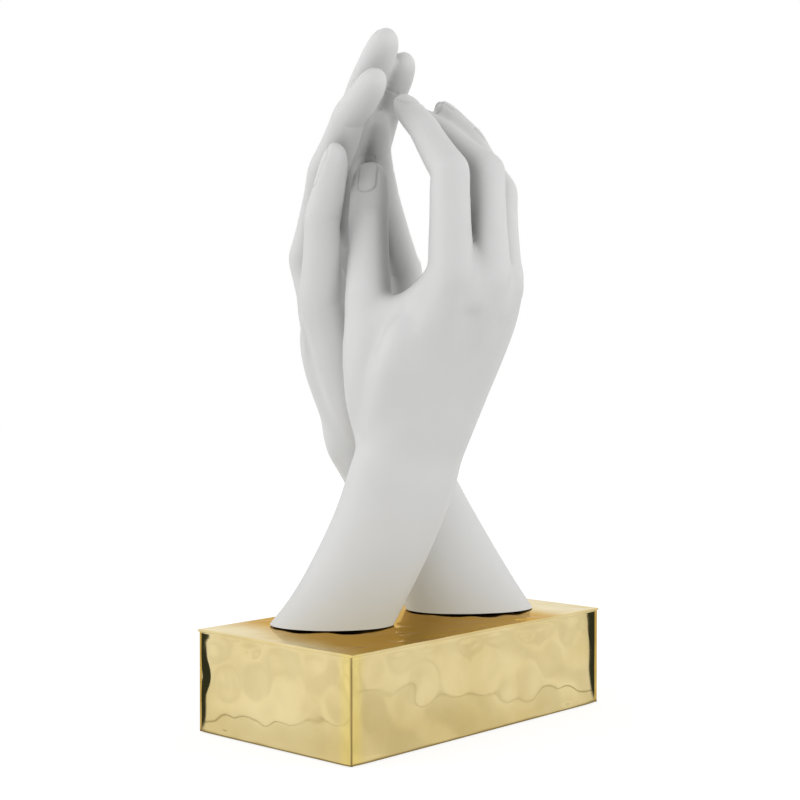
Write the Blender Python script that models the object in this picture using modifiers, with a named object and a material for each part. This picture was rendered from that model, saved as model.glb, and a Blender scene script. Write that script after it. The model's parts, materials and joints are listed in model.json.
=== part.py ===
"""Hand sculpture: a right and a left hand, cast to the forearm, on a brass-clad wooden block.

Metres, +Z up. The origin is under the middle of the block, X runs along its long side.
The hands are modelled in millimetres at size 1 and scaled when they are placed.
"""
import math

import bpy
import bmesh
import numpy as np
from mathutils import Matrix, Vector

MM = 0.001
GAP = 0.0003

# block
BASE_LENGTH = 0.188
BASE_WIDTH = 0.105
BASE_HEIGHT = 0.0508
PLATE_THICK = 0.0012
PLATE_LIFT = 0.0005
EDGE_ROUND = 0.0004
FELT_THICK = 0.002
FELT_MARGIN = 0.0025

# what holds each hand down
GASKET_THICK = 0.0005
STUD_RADIUS = 0.003
STUD_TIP = 0.001
INSERT_WALL = 0.002
INSERT_LENGTH = 0.016
INSERT_GRIP = 0.012
WASHER_RADIUS = 0.008
WASHER_THICK = 0.0016
NUT_FLATS = 0.010
NUT_THICK = 0.005
SINK_DEPTH = 0.0095
SINK_CLEAR = 0.002
DOWEL_RADIUS = 0.002
DOWEL_LENGTH = 0.020
DOWEL_OFFSET = 0.014
FOOT_SLAB = (0.2, 0.2, 0.05)
ROUND_SIDES = 32

# the pair stands turned on its block, right hand in front of the left one
PAIR_TURN = -47.445
HAND_VOXEL = 0.002
HAND_TRIANGLES = 3900
HAND_SMOOTHING = 12
SMOOTH_PULL = 0.5
FINGER_HOLD = 0.8
FINGER_REACH = 16
FINGER_FADE = 6
FREE_FROM = 0.2
LOFT_STEP = 3.5
ARM_STEP = 5.25
FINGER_SIDES = 16
ARM_SIDES = 28
ROUND_SHAPE = 2.0
FINGER_SHAPE = 2.15
WEB_SHAPE = 2.3
ARM_SHAPE = 2.1

# Palm frame of a right hand: X to the thumb, Y out of its back, Z to the fingers, origin at the wrist.
FINGERS = ("index", "middle", "ring", "little")
KNUCKLES = {"index": (22, -1, 84), "middle": (4, 3, 88), "ring": (-13, -2, 83), "little": (-26, -12, 74)}
KNUCKLE_ROLL = {"index": -6, "middle": 3, "ring": 15, "little": 28}
BONES = {
    "index": (50, 31, 27), "middle": (55, 35, 29), "ring": (51, 33, 28), "little": (41, 24, 24),
    "thumb": (46, 38, 32),
}
FINGER_GIRTH = {"index": 1.0, "middle": 1.02, "ring": 0.97, "little": 0.86}
THUMB_ROOT = (26, -14, 20)
THUMB_START = (14, -5, -14)
METACARPAL_LEAN = 0.45
METACARPAL_ROOT = (-1, 8)
ROLL_SHARE = 0.8
JOINT_SOFT = 0.22
ROOT_SOFT = 0.15
ROOT_TURN_REACH = 0.4
ROOT_TURN_SHARE = 0.3

# Rows of each bone in turn: share of the bone, half width, half depth to the back, half depth to the pad.
FINGER_SECTIONS = [
    [
        (-0.60, 5.5, 3.0, 6.0), (-0.35, 8.0, 6.5, 8.5), (-0.12, 9.6, 9.4, 10.4),
        (0.05, 10.0, 10.2, 11.2), (0.28, 9.6, 9.3, 10.8), (0.55, 9.1, 8.6, 9.8),
        (0.82, 9.0, 8.4, 9.0), (1.00, 9.1, 8.8, 8.4),
    ],
    [
        (0.22, 8.6, 8.1, 8.3), (0.50, 8.0, 7.3, 8.1), (0.80, 7.7, 6.9, 7.4), (1.00, 7.7, 6.9, 6.9),
    ],
    [
        (0.25, 7.5, 6.3, 7.2), (0.50, 7.3, 5.8, 7.2), (0.72, 6.7, 5.1, 6.5), (0.87, 5.5, 4.2, 5.2),
        (0.96, 3.5, 2.7, 3.3), (1.00, 1.0, 0.9, 1.0),
    ],
]
THUMB_SECTIONS = [
    [
        (-0.80, 5.0, 5.0, 6.0), (-0.50, 9.0, 8.0, 11.0), (-0.15, 12.6, 10.5, 15.0),
        (0.15, 13.6, 11.2, 16.0), (0.45, 13.2, 11.0, 16.0), (0.75, 11.6, 10.2, 13.0),
        (1.00, 10.6, 9.9, 11.2),
    ],
    [
        (0.25, 9.9, 9.2, 10.2), (0.55, 9.3, 8.5, 9.6), (0.82, 9.1, 8.3, 9.0),
        (1.00, 9.1, 8.2, 8.8),
    ],
    [
        (0.22, 9.0, 7.4, 8.8), (0.45, 8.9, 6.8, 8.6), (0.68, 8.3, 6.0, 7.9), (0.84, 7.2, 5.0, 6.6),
        (0.95, 5.0, 3.6, 4.6), (1.00, 2.2, 1.8, 2.0),
    ],
]
# Each row: centre, lean about Y, half width, half depth to the back, half depth to the palm, arch.
PALM_SECTIONS = [
    ((0, 0, 0), 0, 29, 18.5, 19, 0),
    ((0, 0, 16), 0, 29.5, 16.5, 18, 1),
    ((0, 0, 34), 0, 31.5, 14.5, 17, 4),
    ((-0.5, 0, 52), 3, 33, 13, 16, 7),
    ((-1, 0, 68), 6, 33.5, 11.5, 14, 10),
    ((-1, -1, 80), 8, 32, 9.5, 12, 11),
    ((-1, -2, 90), 9, 28, 7.0, 9, 10),
    ((-1, -3, 97), 9, 21, 4.0, 5, 7),
]
# Each row: share of the metacarpal, half width, half depth to the back, half depth to the palm.
METACARPAL_SECTIONS = [
    (-0.1, 4, 6, 6), (0.25, 8, 11.5, 10), (0.6, 9, 11.5, 11), (0.9, 9.4, 10.6, 11.5), (1.1, 7, 7.5, 9),
]
# Ball of the little finger's side. Each row: centre, half width, half depth to the back, to the palm.
HEEL_SECTIONS = [
    ((-10, -4, -8), 6, 6, 8),
    ((-15, -6, 8), 11, 9, 13),
    ((-20, -8, 28), 13, 10, 15),
    ((-24, -11, 48), 11.5, 9, 13),
    ((-26, -13, 66), 8, 7, 9),
    ((-26, -13, 76), 4, 4, 5),
]
HEEL_TURN = 12
# Back of the thumb's root, between the thumb and the palm. Each row as for the heel.
SADDLE_SECTIONS = [
    ((18, -4, -14), 5, 6, 6),
    ((22, -5, 0), 8, 10, 8),
    ((25, -5, 18), 10, 11, 9),
    ((28, -6, 36), 11, 11, 9),
    ((30, -7, 52), 9, 9, 8),
    ((31, -8, 62), 4, 4, 4),
]
# Each row: share of the first bones, half depth to the back, half depth to the palm.
CROTCH_SECTIONS = [(-0.25, 4, 5), (-0.05, 8, 9), (0.15, 7, 9), (0.27, 4.5, 7), (0.32, 1.5, 3)]
WEB_ROOT_THUMB = (22, -8, 18)
WEB_ROOT_INDEX = (12, -3, 20)
WEB_TOP_THUMB = 0.12
WEB_TOP_INDEX = (0, -3, 18)
WEB_THICK = (12, 7.5)
WEB_FLARE = 2.5
WEB_VALLEY = (0.42, 17)

# Poses. side: 1 is a right hand, -1 a left one. foot: where the arm meets the block, in the pair's frame.
# wrist: from the foot's centre. turn: yaw, pitch, roll. bow: how far the forearm bends aside.
# twist: how far the foot's oval is turned against the wrist's.
# arm rows: share of the way from wrist to foot, half width, half depth to the back and to the palm.
# fingers: splay, then the bends of the three joints. thumb: yaw, pitch, roll, then two bends.
RIGHT_POSE = {
    "side": 1, "size": 1.03, "foot": (-38, -21), "wrist": (41.0, -7.3, 87.4), "turn": (-137, -8.5, -27.0),
    "bow": (5, -2, 0), "twist": -40,
    "arm": [(0.12, 29, 19, 19.5), (0.4, 26, 20, 20), (0.75, 25.5, 20, 20), (1.0, 28.5, 21, 21)],
    "girth": (1.06, 0.95), "thumb_girth": (1.04, 1.08),
    "index": (13, 27, 43, 6), "middle": (-4, 38, 44, 5), "ring": (-12, 36, 26, 11),
    "little": (-8, 34, 14, 8), "thumb": (8, 33, -50, 14, 9),
}
LEFT_POSE = {
    "side": -1, "size": 1.13, "foot": (31.5, 30), "wrist": (-45.2, -8.2, 88.4), "turn": (44.0, -2.8, -14.1),
    "bow": (0, 3, 0), "twist": 42,
    "arm": [(0.12, 27, 18, 18), (0.4, 25, 19, 19), (0.75, 26, 20, 20), (1.0, 28.5, 21, 21)],
    "girth": (0.99, 1.08), "thumb_girth": (0.95, 0.87),
    "index": (25, 45, 9, 11), "middle": (12, 39, 16, 3), "ring": (2, 29, 29, 5),
    "little": (12, 24, 21, 10), "thumb": (22, 15, -37, 18, 10),
}
FOOT_STUB = 22
WRIST_TURN_REACH = 0.625

# heights that several pieces share
CORE_LOW = FELT_THICK + GAP
CORE_HIGH = BASE_HEIGHT - PLATE_THICK - GAP
FOOT_HIGH = BASE_HEIGHT + GASKET_THICK + 2 * GAP
SINK_ROOF = CORE_LOW + SINK_DEPTH
STUD_BORE = STUD_RADIUS + GAP
DOWEL_BORE = DOWEL_RADIUS + GAP
INSERT_RADIUS = STUD_BORE + INSERT_WALL
SINK_RADIUS = WASHER_RADIUS + SINK_CLEAR


def clear_scene():
    for old in list(bpy.data.objects):
        bpy.data.objects.remove(old)


def new_collection(name):
    group = bpy.data.collections.new(name)
    bpy.context.scene.collection.children.link(group)
    return group


def make_material(name, color, roughness, metallic=0.0):
    material = bpy.data.materials.new(name)
    material.use_nodes = True
    shader = material.node_tree.nodes["Principled BSDF"]
    shader.inputs["Base Color"].default_value = (*color, 1)
    shader.inputs["Roughness"].default_value = roughness
    shader.inputs["Metallic"].default_value = metallic
    return material


def add_object(name, mesh, group, material=None, parent=None, location=(0, 0, 0)):
    piece = bpy.data.objects.new(name, mesh)
    group.objects.link(piece)
    piece.parent = parent
    piece.location = location
    if material:
        mesh.materials.append(material)
    return piece


def as_cutter(piece):
    piece.hide_render = True
    piece.display_type = "WIRE"
    return piece


def add_boolean(piece, cutter, operation="DIFFERENCE"):
    cut = piece.modifiers.new(cutter.name, "BOOLEAN")
    cut.operation = operation
    cut.object = cutter


def box_mesh(name, size):
    """A box around its own middle."""
    bm = bmesh.new()
    bmesh.ops.create_cube(bm, size=1)
    bmesh.ops.scale(bm, vec=size, verts=bm.verts)
    mesh = bpy.data.meshes.new(name)
    bm.to_mesh(mesh)
    bm.free()
    return mesh


def rod_mesh(name, radius, length, sides=ROUND_SIDES):
    """A rod or a prism that stands on its lower end."""
    bm = bmesh.new()
    lift = Matrix.Translation((0, 0, length / 2))
    ends = {"radius1": radius, "radius2": radius, "depth": length}
    bmesh.ops.create_cone(bm, cap_ends=True, segments=sides, matrix=lift, **ends)
    mesh = bpy.data.meshes.new(name)
    bm.to_mesh(mesh)
    bm.free()
    mesh.shade_smooth()
    mesh.set_sharp_from_angle(angle=math.radians(35))
    return mesh


def round_edges(piece):
    bevel = piece.modifiers.new("edges", "BEVEL")
    bevel.width = EDGE_ROUND
    bevel.segments = 2
    bevel.limit_method = "ANGLE"


def side_plate(name, length, reach, turn, group, material):
    """A mitred plate of the cladding: its outer face lies at reach from the block's middle."""
    height = CORE_HIGH - PLATE_LIFT
    mesh = box_mesh(name, (length - GAP, PLATE_THICK, height))
    for vert in mesh.vertices:
        if vert.co.y > 0:
            vert.co.x -= math.copysign(PLATE_THICK, vert.co.x)
    middle = Vector((0, -reach + PLATE_THICK / 2, PLATE_LIFT + height / 2))
    around = Matrix.Rotation(math.radians(turn), 4, "Z")
    piece = add_object(name, mesh, group, material, location=around @ middle)
    piece.rotation_euler = (0, 0, math.radians(turn))
    round_edges(piece)
    return piece


def make_block(group, brass, wood, felt):
    """The wooden core, its five brass plates and the felt pad. Returns the pieces that get holes."""
    inner = Vector((BASE_LENGTH, BASE_WIDTH)) - Vector((2, 2)) * (PLATE_THICK + GAP)
    core_mesh = box_mesh("base_core", (*inner, CORE_HIGH - CORE_LOW))
    core = add_object("base_core", core_mesh, group, wood, location=(0, 0, (CORE_HIGH + CORE_LOW) / 2))
    top_mesh = box_mesh("top_plate", (BASE_LENGTH, BASE_WIDTH, PLATE_THICK))
    top = add_object("top_plate", top_mesh, group, brass, location=(0, 0, BASE_HEIGHT - PLATE_THICK / 2))
    round_edges(top)
    side_plate("front_plate", BASE_LENGTH, BASE_WIDTH / 2, 0, group, brass)
    side_plate("back_plate", BASE_LENGTH, BASE_WIDTH / 2, 180, group, brass)
    side_plate("left_end_plate", BASE_WIDTH, BASE_LENGTH / 2, -90, group, brass)
    side_plate("right_end_plate", BASE_WIDTH, BASE_LENGTH / 2, 90, group, brass)
    pad = inner - Vector((2, 2)) * FELT_MARGIN
    pad_mesh = box_mesh("felt_pad", (*pad, FELT_THICK))
    add_object("felt_pad", pad_mesh, group, felt, location=(0, 0, FELT_THICK / 2))
    return core, top


def rotation(yaw=0.0, pitch=0.0, roll=0.0):
    """A turn about X by roll, then Y by pitch, then Z by yaw, in degrees."""
    about_x = Matrix.Rotation(math.radians(roll), 3, "X")
    about_y = Matrix.Rotation(math.radians(pitch), 3, "Y")
    about_z = Matrix.Rotation(math.radians(yaw), 3, "Z")
    return about_z @ about_y @ about_x


def blend_turn(first, second, share):
    return first.to_quaternion().slerp(second.to_quaternion(), share).to_matrix()


def chain(root, turn, bones, bends):
    """Joint places and bone turns of a finger that bends at each joint in turn."""
    joints, turns = [Vector(root)], []
    for length, bend in zip(bones, bends):
        turn = turn @ rotation(roll=bend)
        turns.append(turn)
        joints.append(joints[-1] + turn @ Vector((0, 0, length)))
    return joints, turns


def hand_skeleton(pose):
    """Joints and turns of every finger, in the palm frame at size 1."""
    skeleton = {}
    for name in FINGERS:
        splay, *bends = pose[name]
        turn = rotation(yaw=KNUCKLE_ROLL[name], pitch=splay)
        skeleton[name] = chain(KNUCKLES[name], turn, BONES[name], bends)
    yaw, pitch, roll, *bends = pose["thumb"]
    turn = rotation(pitch=yaw) @ rotation(roll=pitch) @ rotation(yaw=roll)
    skeleton["thumb"] = chain(THUMB_ROOT, turn, BONES["thumb"], (0, *bends))
    return skeleton


def finger_controls(joints, turns, table, girth, root_turn=None, start=None):
    """Sections along a finger: centre, turn, half width, two half depths, arch."""
    controls = []
    rows = [(bone, *row) for bone, rows_of_bone in enumerate(table) for row in rows_of_bone]
    for bone, share, width, back, pad in rows:
        centre = joints[bone].lerp(joints[bone + 1], share)
        turn = turns[bone]
        if start and share < 0:
            centre = joints[0].lerp(start, share / rows[0][1])
        elif root_turn and share < 0:
            centre = joints[0] + root_turn @ Vector((0, 0, share * (joints[1] - joints[0]).length))
            turn = blend_turn(turns[0], root_turn, min(1.0, -share / ROOT_TURN_REACH))
        elif root_turn and bone == 0 and share < ROOT_SOFT:
            turn = blend_turn(turns[0], root_turn, ROOT_TURN_SHARE * (1 - share / ROOT_SOFT))
        elif share > 1 - JOINT_SOFT and bone + 1 < len(turns):
            turn = blend_turn(turns[bone], turns[bone + 1], 0.5 * (share - 1 + JOINT_SOFT) / JOINT_SOFT)
        elif share < JOINT_SOFT and bone > 0:
            turn = blend_turn(turns[bone - 1], turns[bone], 0.5 + 0.5 * share / JOINT_SOFT)
        along = max(0.0, min(1.0, (bone + share) / len(turns)))
        swell = girth[0] * (1 - along) + girth[1] * along
        controls.append((centre, turn, width * swell, back * swell, pad * swell, 0))
    return controls


def spline(before, start, end, after, t):
    """Catmull-Rom curve from start to end."""
    return 0.5 * (2 * start + (end - before) * t + (2 * before - 5 * start + 4 * end - after) * t ** 2
                  + (3 * start - before - 3 * end + after) * t ** 3)


def refine(controls, step):
    """Sections about every step along a smooth path through the control sections."""
    rows = [np.array([*centre, *sizes], float) for centre, _, *sizes in controls]
    turns = [turn.to_quaternion() for _, turn, *_ in controls]
    sections = []
    for i in range(len(rows) - 1):
        before = rows[max(i - 1, 0)]
        after = rows[min(i + 2, len(rows) - 1)]
        span = np.linalg.norm(rows[i + 1][:3] - rows[i][:3])
        count = max(1, round(span / step))
        for k in range(count):
            t = k / count
            row = spline(before, rows[i], rows[i + 1], after, t)
            sections.append((row, turns[i].slerp(turns[i + 1], t)))
    sections.append((rows[-1], turns[-1]))
    return sections


def ring_points(row, turn, sides, power):
    """Points around one section: a rounded oval, deeper on one side, bent down by arch at its -X side."""
    centre, (width, back, pad, arch) = Vector(row[:3]), row[3:]
    points = []
    for k in range(sides):
        angle = math.tau * k / sides
        c, s = math.cos(angle), math.sin(angle)
        x = math.copysign(abs(c) ** (2 / power), c)
        y = (back if s > 0 else pad) * math.copysign(abs(s) ** (2 / power), s)
        points.append(centre + turn @ Vector((width * x, y - arch * min(0, x) ** 2, 0)))
    return points


def loft(bm, controls, power=ROUND_SHAPE, step=LOFT_STEP, sides=FINGER_SIDES):
    """A closed skin through the sections, capped at both ends."""
    rings = []
    for row, turn in refine(controls, step):
        rings.append([bm.verts.new(point) for point in ring_points(row, turn, sides, power)])
    for low, high in zip(rings, rings[1:]):
        for k in range(sides):
            n = (k + 1) % sides
            bm.faces.new((low[k], low[n], high[n], high[k]))
    bm.faces.new(list(reversed(rings[0])))
    bm.faces.new(rings[-1])


def web_controls(thumb_joints, index_turn):
    """The fold of skin between the thumb and the index finger, in sections across it from bone to bone."""
    knuckle = Vector(KNUCKLES["index"])
    top_thumb = thumb_joints[1].lerp(thumb_joints[2], WEB_TOP_THUMB)
    top_index = knuckle + index_turn @ Vector(WEB_TOP_INDEX)
    low_thumb, low_index = Vector(WEB_ROOT_THUMB), Vector(WEB_ROOT_INDEX)
    down = (low_thumb + low_index - top_thumb - top_index).normalized()
    share, drop = WEB_VALLEY
    valley = top_thumb.lerp(knuckle, share) + down * drop
    across = (top_index - top_thumb).normalized()
    controls = []
    for t in np.linspace(0, 1, 11):
        top = top_thumb * (1 - t) ** 2 + valley * (2 * t * (1 - t)) + top_index * t ** 2
        low = low_thumb.lerp(low_index, t)
        up = (top - low).normalized()
        normal = (across - up * across.dot(up)).normalized()
        turn = Matrix((up, normal.cross(up), normal)).transposed()
        back, pad = (thick + WEB_FLARE * abs(2 * t - 1) for thick in WEB_THICK)
        controls.append(((top + low) / 2, turn, (top - low).length / 2, back, pad, 0))
    return controls


def crotch_controls(first, second):
    """The fold between two fingers that stand side by side, over the lower part of their first bones."""
    controls = []
    for share, back, pad in CROTCH_SECTIONS:
        ends = [joints[0].lerp(joints[1], share) for joints, _ in (first, second)]
        across = ends[0] - ends[1]
        along = ((first[0][1] - first[0][0]) + (second[0][1] - second[0][0])).normalized()
        side = (across - along * across.dot(along)).normalized()
        turn = Matrix((side, along.cross(side), along)).transposed()
        controls.append(((ends[0] + ends[1]) / 2, turn, across.length / 2, back, pad, 0))
    return controls


def arm_controls(pose):
    """Sections of the forearm from the foot up to the wrist, carried into the palm frame."""
    into_palm = rotation(*pose["turn"]).inverted()
    mirror = Matrix.Diagonal((pose["side"], 1, 1))
    reach = Vector(pose["wrist"])
    foot = mirror @ (into_palm @ -(reach + reach.normalized() * FOOT_STUB)) / pose["size"]
    bow = mirror @ (into_palm @ Vector(pose["bow"])) / pose["size"]
    level = Matrix.Identity(3)
    along_arm = Vector((0, 0, 1)).rotation_difference(-foot).to_matrix()
    controls = []
    for share, *sizes in reversed(pose["arm"]):
        centre = foot * share + bow * (4 * share * (1 - share))
        lean = blend_turn(level, along_arm, min(1, share / WRIST_TURN_REACH))
        turn = lean @ rotation(yaw=pose["twist"] * share)
        controls.append((centre, turn, *sizes, 0))
    return controls


def hand_shells(pose):
    """All the overlapping skins of one hand, around its foot's centre, in millimetres."""
    bm = bmesh.new()
    skeleton = hand_skeleton(pose)
    for name in FINGERS:
        knuckle = Vector(KNUCKLES[name])
        lean = math.degrees(math.atan2(knuckle.x * METACARPAL_LEAN, knuckle.z))
        root_turn = rotation(yaw=KNUCKLE_ROLL[name] * ROLL_SHARE, pitch=lean)
        girth = [FINGER_GIRTH[name] * share for share in pose["girth"]]
        loft(bm, finger_controls(*skeleton[name], FINGER_SECTIONS, girth, root_turn), FINGER_SHAPE)
        root = Vector((knuckle.x * METACARPAL_LEAN, *METACARPAL_ROOT))
        turn = rotation(yaw=KNUCKLE_ROLL[name] * ROLL_SHARE)
        ridge = [(root.lerp(knuckle, share), turn, *sizes, 0) for share, *sizes in METACARPAL_SECTIONS]
        loft(bm, ridge)
    for first, second in zip(FINGERS, FINGERS[1:]):
        loft(bm, crotch_controls(skeleton[first], skeleton[second]))
    start = Vector(THUMB_START)
    thumb_controls = finger_controls(*skeleton["thumb"], THUMB_SECTIONS, pose["thumb_girth"], start=start)
    loft(bm, thumb_controls, FINGER_SHAPE)
    loft(bm, web_controls(skeleton["thumb"][0], skeleton["index"][1][0]), WEB_SHAPE)
    for table in (HEEL_SECTIONS, SADDLE_SECTIONS):
        loft(bm, [(Vector(centre), rotation(yaw=HEEL_TURN), *sizes, 0) for centre, *sizes in table])
    palm = [(Vector(centre), rotation(pitch=lean), *sizes) for centre, lean, *sizes in PALM_SECTIONS]
    loft(bm, arm_controls(pose) + palm, ARM_SHAPE, ARM_STEP, ARM_SIDES)
    size = pose["size"]
    shape = Matrix.Diagonal((size * pose["side"], size, size, 1))
    place = Matrix.Translation(pose["wrist"]) @ rotation(*pose["turn"]).to_4x4() @ shape
    bmesh.ops.transform(bm, matrix=Matrix.Scale(MM, 4) @ place, verts=bm.verts)
    if pose["side"] < 0:
        bmesh.ops.reverse_faces(bm, faces=bm.faces)
    bmesh.ops.triangulate(bm, faces=[face for face in bm.faces if len(face.verts) > 4])
    return bm


def finger_distance(points, pose):
    """How far each point lies from the nearest free finger bone, in millimetres at size 1."""
    turn = np.array(rotation(*pose["turn"]))
    local = (points / MM - np.array(pose["wrist"])) @ turn / pose["size"]
    local[:, 0] *= pose["side"]
    nearest = np.full(len(points), np.inf)
    for name, (joints, _) in hand_skeleton(pose).items():
        ends = [np.array(joint) for joint in joints]
        if name == "thumb":
            ends = ends[1:]
        else:
            ends[0] += FREE_FROM * (ends[1] - ends[0])
        for start, end in zip(ends, ends[1:]):
            bone = end - start
            t = np.clip((local - start) @ bone / (bone @ bone), 0, 1)
            nearest = np.minimum(nearest, np.linalg.norm(local - start - t[:, None] * bone, axis=1))
    return nearest


def soften(mesh, pose):
    """Smooths the palm, wrist and arm fully, and the free fingers only a little."""
    count = len(mesh.vertices)
    points = np.empty(count * 3)
    mesh.vertices.foreach_get("co", points)
    points = points.reshape(count, 3)
    edges = np.empty(len(mesh.edges) * 2, int)
    mesh.edges.foreach_get("vertices", edges)
    first, second = edges.reshape(-1, 2).T
    links = np.bincount(first, minlength=count) + np.bincount(second, minlength=count)
    on_finger = np.clip((FINGER_REACH - finger_distance(points, pose)) / FINGER_FADE, 0, 1)
    pull = SMOOTH_PULL * (1 - FINGER_HOLD * on_finger)
    for _ in range(HAND_SMOOTHING):
        for axis in range(3):
            line = points[:, axis]
            total = np.bincount(first, line[second], count) + np.bincount(second, line[first], count)
            points[:, axis] = line + pull * (total / links - line)
    mesh.vertices.foreach_set("co", points.ravel())
    mesh.update()


def hand_mesh(name, pose, group):
    """One closed skin round all the shells of a hand."""
    shells = hand_shells(pose)
    mesh = bpy.data.meshes.new(name)
    shells.to_mesh(mesh)
    shells.free()
    guide = add_object(name + "_shells", mesh, group)
    fuse = guide.modifiers.new("fuse", "REMESH")
    fuse.mode = "VOXEL"
    fuse.voxel_size = HAND_VOXEL
    seen = guide.evaluated_get(bpy.context.evaluated_depsgraph_get())
    skin = bpy.data.meshes.new_from_object(seen)
    bpy.data.objects.remove(guide)
    soften(skin, pose)
    skin.shade_smooth()
    return skin


def add_decimate(piece):
    triangles = sum(len(face.vertices) - 2 for face in piece.data.polygons)
    thin = piece.modifiers.new("thin", "DECIMATE")
    thin.ratio = HAND_TRIANGLES / triangles


def make_hand(name, pose, pair, holed, groups, materials):
    """One hand, its gasket and the hardware that holds it down on the block."""
    parts, cutters = groups
    foot = Vector((*pose["foot"], 0)) * MM
    lean = math.copysign(1, pose["wrist"][0])
    dowel_foot = foot + Vector((lean * DOWEL_OFFSET, 0, 0))

    def rod(piece, radius, low, high, place=foot, group=parts, material=materials["steel"],
            sides=ROUND_SIDES):
        mesh = rod_mesh(f"{name}_{piece}", radius, high - low, sides)
        return add_object(f"{name}_{piece}", mesh, group, material, pair, place + Vector((0, 0, low)))

    def cutter(piece, radius, low, high, place=foot):
        return as_cutter(rod(piece, radius, low, high, place, cutters, None))

    skin = hand_mesh(name, pose, parts)
    hand = add_object(name, skin, parts, materials["resin"], pair, foot + Vector((0, 0, FOOT_HIGH)))
    add_decimate(hand)
    gasket_skin = skin.copy()
    gasket_skin.materials.clear()
    gasket = add_object(name + "_gasket", gasket_skin, parts, materials["rubber"], pair, hand.location)
    add_decimate(gasket)

    slab = Vector(FOOT_SLAB)
    below = as_cutter(add_object(name + "_below", box_mesh(name + "_below", slab), cutters, None, pair))
    below.location = foot + Vector((0, 0, FOOT_HIGH - slab.z / 2))
    layer_mesh = box_mesh(name + "_layer", (*slab.xy, GASKET_THICK))
    layer = as_cutter(add_object(name + "_layer", layer_mesh, cutters, None, pair))
    layer.location = foot + Vector((0, 0, BASE_HEIGHT + GAP + GASKET_THICK / 2))

    insert_top = FOOT_HIGH + INSERT_LENGTH
    dowel_low = CORE_HIGH - DOWEL_LENGTH / 2
    dowel_high = dowel_low + DOWEL_LENGTH
    nut_high = SINK_ROOF - WASHER_THICK - 2 * GAP
    nut_low = nut_high - NUT_THICK
    socket = cutter("socket", INSERT_RADIUS + GAP, FOOT_HIGH - GAP, insert_top + GAP)
    bore = cutter("bore", STUD_BORE, CORE_LOW - GAP, insert_top + GAP)
    sink = cutter("sink", SINK_RADIUS, CORE_LOW - GAP, SINK_ROOF)
    dowel_hole = cutter("dowel_hole", DOWEL_BORE, dowel_low - GAP, dowel_high + GAP, dowel_foot)

    add_boolean(hand, below)
    add_boolean(hand, socket)
    add_boolean(hand, dowel_hole)
    add_boolean(gasket, layer, "INTERSECT")
    add_boolean(gasket, bore)
    add_boolean(gasket, dowel_hole)
    core, top = holed
    for piece in (core, top):
        add_boolean(piece, bore)
        add_boolean(piece, dowel_hole)
    add_boolean(core, sink)

    insert = rod("insert", INSERT_RADIUS, FOOT_HIGH, insert_top, material=materials["brass"])
    rod("stud", STUD_RADIUS, nut_low - STUD_TIP, FOOT_HIGH + INSERT_GRIP)
    washer = rod("washer", WASHER_RADIUS, nut_high + GAP, SINK_ROOF - GAP)
    nut = rod("nut", NUT_FLATS / math.sqrt(3), nut_low, nut_high, sides=6)
    rod("dowel", DOWEL_RADIUS, dowel_low, dowel_high, dowel_foot)
    for piece in (insert, washer, nut):
        add_boolean(piece, bore)


def main():
    clear_scene()
    parts = new_collection("hand_sculpture")
    cutters = new_collection("cutters")
    materials = {
        "resin": make_material("white_resin", (0.80, 0.80, 0.80), 0.6),
        "brass": make_material("hammered_brass", (0.86, 0.66, 0.30), 0.16, 1.0),
        "wood": make_material("core_wood", (0.55, 0.40, 0.25), 0.7),
        "felt": make_material("brown_felt", (0.10, 0.07, 0.05), 0.95),
        "rubber": make_material("dark_gasket", (0.03, 0.03, 0.03), 0.8),
        "steel": make_material("zinc_steel", (0.62, 0.63, 0.65), 0.35, 1.0),
    }
    holed = make_block(parts, materials["brass"], materials["wood"], materials["felt"])
    pair = bpy.data.objects.new("pair", None)
    parts.objects.link(pair)
    pair.rotation_euler = (0, 0, math.radians(PAIR_TURN))
    make_hand("right_hand", RIGHT_POSE, pair, holed, (parts, cutters), materials)
    make_hand("left_hand", LEFT_POSE, pair, holed, (parts, cutters), materials)


main()
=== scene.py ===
"""The looks of the hand sculpture: two matt white hands on a block clad in hammered brass.

Metres, +Z up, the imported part's frame. The hands are shaped in millimetres at size 1 and scaled
when they are placed.
"""
import json
import math
import random
from math import radians

import bmesh
import bpy
import numpy as np
from mathutils import Matrix, Vector, noise


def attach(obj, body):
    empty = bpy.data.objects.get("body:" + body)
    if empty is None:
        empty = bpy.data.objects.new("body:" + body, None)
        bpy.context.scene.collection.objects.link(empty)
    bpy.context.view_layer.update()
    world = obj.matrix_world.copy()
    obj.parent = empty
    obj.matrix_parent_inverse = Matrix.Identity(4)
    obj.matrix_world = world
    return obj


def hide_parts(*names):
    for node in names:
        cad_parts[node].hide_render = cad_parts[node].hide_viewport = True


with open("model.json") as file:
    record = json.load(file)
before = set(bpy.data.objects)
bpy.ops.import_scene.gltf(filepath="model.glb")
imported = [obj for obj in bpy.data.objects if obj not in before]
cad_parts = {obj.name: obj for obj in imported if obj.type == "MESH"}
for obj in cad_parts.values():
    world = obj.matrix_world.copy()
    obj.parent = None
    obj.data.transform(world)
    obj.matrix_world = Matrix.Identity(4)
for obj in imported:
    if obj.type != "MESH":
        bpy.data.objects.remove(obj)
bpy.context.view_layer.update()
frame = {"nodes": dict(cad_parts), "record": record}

MM = 0.001
GAP = 0.0003

# Block, clad in plates, and what lies under the feet.
BASE_LENGTH = 0.188
BASE_WIDTH = 0.105
BASE_HEIGHT = 0.0508
PLATE_THICK = 0.0012
PLATE_LIFT = 0.0005
GASKET_THICK = 0.0005
# The feet look seated: they reach this much lower than their solids, on a gasket of this thickness.
FOOT_SETTLE = 0.0006
GASKET_SEEN = 0.00035
GASKET_INSET = 0.0014
GASKET_EASE = 0.0001
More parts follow.
